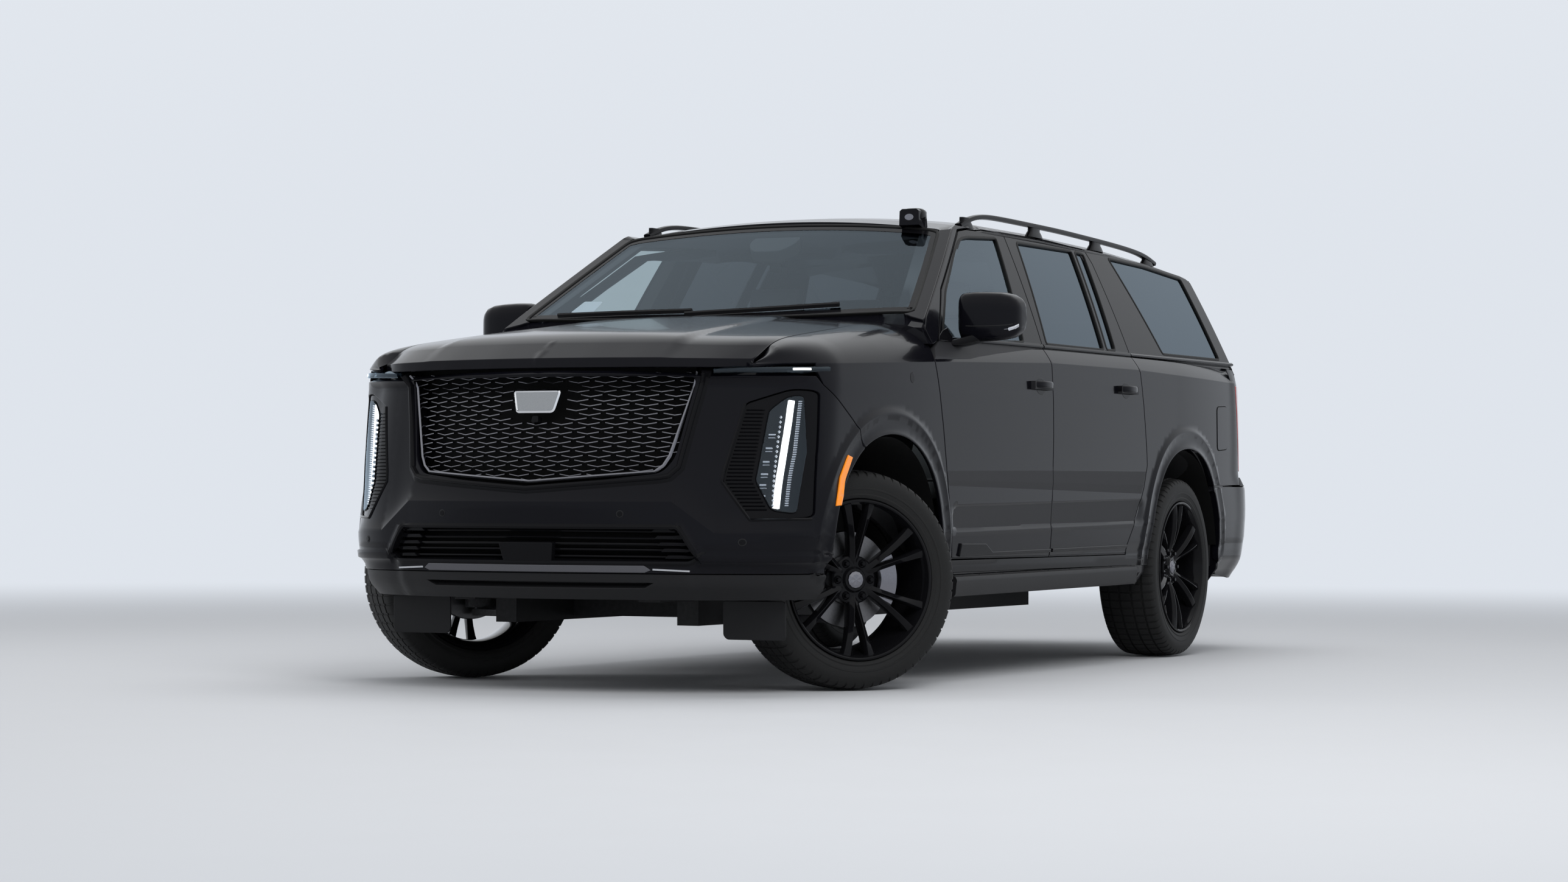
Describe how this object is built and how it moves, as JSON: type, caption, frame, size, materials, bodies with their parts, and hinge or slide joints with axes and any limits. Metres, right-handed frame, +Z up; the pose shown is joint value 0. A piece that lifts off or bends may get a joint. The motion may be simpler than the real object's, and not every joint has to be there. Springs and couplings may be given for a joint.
{
  "type": "suv",
  "caption": "Tall full-size family car in gloss black with a broad mesh grille, upright lamps, hinged doors, lifting hood and tailgate, and steered front wheels.",
  "frame": {"origin": "on the ground, under the middle of the bounding box", "axes": "+Z up, the nose points to -Y, the driver's side is +X"},
  "size_m": [2.48, 5.7658, 1.95],
  "materials": {
    "body_paint": "gloss black lacquer",
    "trim_black": "grained matte",
    "grille_black": "gloss",
    "clear_lamp": "polished",
    "red_lamp": "polished",
    "clear_glass": "polished",
    "dark_glass": "polished, tinted",
    "chassis_metal": "satin",
    "floor_metal": "satin",
    "cast_metal": "cast",
    "tyre_rubber": "moulded",
    "wheel_black": "gloss black",
    "cabin_plastic": "soft grain",
    "seat_leather": "stitched"
  },
  "bodies": {
    "chassis": {"body_shell": "body_paint", "floor_pan": "floor_metal", "chassis_frame": "chassis_metal", "fender_left": "body_paint", "fender_right": "body_paint", "front_bumper": "body_paint", "rear_bumper": "body_paint", "grille": "grille_black", "headlamps": "clear_lamp", "tail_lamps": "red_lamp", "fixed_glass": "clear_glass", "roof_rails": "grille_black", "running_boards": "trim_black", "front_axle": "cast_metal", "rear_axle": "cast_metal", "engine": "cast_metal", "radiator": "cast_metal", "underbody": "chassis_metal", "dashboard": "cabin_plastic", "steering_wheel": "cabin_plastic", "front_seats": "seat_leather", "rear_seats": "seat_leather"},
    "hood_lid": {"hood": "body_paint"},
    "tailgate": {"liftgate": "body_paint", "rear_glass": "dark_glass"},
    "front_left_door": {"door_front_left": "body_paint", "glass_front_left": "clear_glass", "mirror_left": "body_paint"},
    "front_left_wheel": {"tyre_front_left": "tyre_rubber", "wheel_front_left": "wheel_black"},
    "front_right_door": {"door_front_right": "body_paint", "glass_front_right": "clear_glass", "mirror_right": "body_paint"},
    "front_right_wheel": {"tyre_front_right": "tyre_rubber", "wheel_front_right": "wheel_black"},
    "rear_left_door": {"door_rear_left": "body_paint", "glass_rear_left": "dark_glass"},
    "rear_left_wheel": {"tyre_rear_left": "tyre_rubber", "wheel_rear_left": "wheel_black"},
    "rear_right_door": {"door_rear_right": "body_paint", "glass_rear_right": "dark_glass"},
    "rear_right_wheel": {"tyre_rear_right": "tyre_rubber", "wheel_rear_right": "wheel_black"},
    "left_steer": {"knuckle_left": "cast_metal"},
    "right_steer": {"knuckle_right": "cast_metal"}
  },
  "joints": [
    {"name": "left_steering", "type": "hinge", "parent": "chassis", "child": "left_steer", "pos_m": [0.8, -1.878, 0.419], "axis": [0, 0, 1], "range_deg": [-1.4, 72]},
    {"name": "right_steering", "type": "hinge", "parent": "chassis", "child": "right_steer", "pos_m": [-0.8, -1.878, 0.419], "axis": [0, 0, 1], "range_deg": [-1.4, 72]},
    {"name": "front_left_wheel_spin", "type": "hinge", "parent": "left_steer", "child": "front_left_wheel", "pos_m": [0.85481, -1.91991, 0.419], "axis": [0.7944, -0.6074, 0], "continuous": true},
    {"name": "rear_left_wheel_spin", "type": "hinge", "parent": "chassis", "child": "rear_left_wheel", "pos_m": [0.869, 1.529, 0.419], "axis": [1, 0, 0], "continuous": true},
    {"name": "front_right_wheel_spin", "type": "hinge", "parent": "right_steer", "child": "front_right_wheel", "pos_m": [-0.85481, -1.83609, 0.419], "axis": [0.7944, -0.6074, 0], "continuous": true},
    {"name": "rear_right_wheel_spin", "type": "hinge", "parent": "chassis", "child": "rear_right_wheel", "pos_m": [-0.869, 1.529, 0.419], "axis": [1, 0, 0], "continuous": true},
    {"name": "front_left_door_hinge", "type": "hinge", "parent": "chassis", "child": "front_left_door", "pos_m": [1.019, -1.215, 0.9], "axis": [0, 0, -1], "range_deg": [0, 65]},
    {"name": "rear_left_door_hinge", "type": "hinge", "parent": "chassis", "child": "rear_left_door", "pos_m": [1.019, -0.138, 0.9], "axis": [0, 0, -1], "range_deg": [0, 65]},
    {"name": "front_right_door_hinge", "type": "hinge", "parent": "chassis", "child": "front_right_door", "pos_m": [-1.019, -1.215, 0.9], "axis": [0, 0, 1], "range_deg": [0, 65]},
    {"name": "rear_right_door_hinge", "type": "hinge", "parent": "chassis", "child": "rear_right_door", "pos_m": [-1.019, -0.138, 0.9], "axis": [0, 0, 1], "range_deg": [0, 65]},
    {"name": "hood_hinge", "type": "hinge", "parent": "chassis", "child": "hood_lid", "pos_m": [0, -1.444, 1.449], "axis": [-1, 0, 0], "range_deg": [0, 50]},
    {"name": "tailgate_hinge", "type": "hinge", "parent": "chassis", "child": "tailgate", "pos_m": [0, 2.107, 1.8865], "axis": [1, 0, 0], "range_deg": [0, 78]}
  ],
  "couplings": [
    {"joint": "right_steering", "follows": "left_steering", "ratio": 1}
  ]
}
